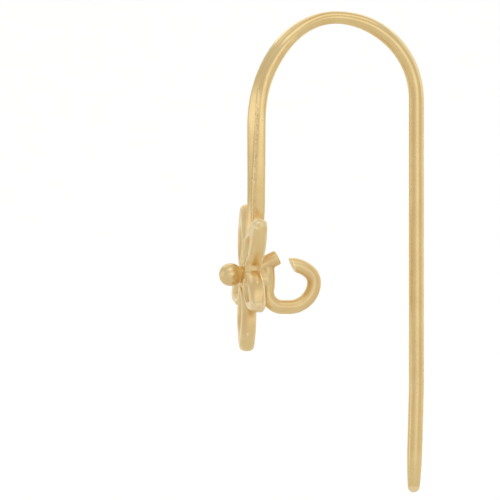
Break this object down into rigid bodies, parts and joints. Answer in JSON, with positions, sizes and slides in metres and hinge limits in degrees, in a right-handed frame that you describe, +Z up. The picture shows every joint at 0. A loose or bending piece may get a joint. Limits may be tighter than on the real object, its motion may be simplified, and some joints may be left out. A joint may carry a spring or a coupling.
{
  "type": "ear wire",
  "caption": "Gold-plated French hook ear wire with a forged stem, an openwork petal flower with a bead, and an open loop behind it that takes a drop.",
  "frame": {"origin": "underside of the arch at its highest point, where the ear carries it", "axes": "+Z up; the hook lies in the YZ plane, its flower faces -Y and its plain leg hangs at +Y; X runs across the flower"},
  "size_m": [0.0075, 0.0112, 0.0259],
  "materials": {
    "gold_plate": "satin pale gold plate over cast brass"
  },
  "bodies": {
    "root": {"ear_wire": "gold_plate"}
  },
  "joints": []
}
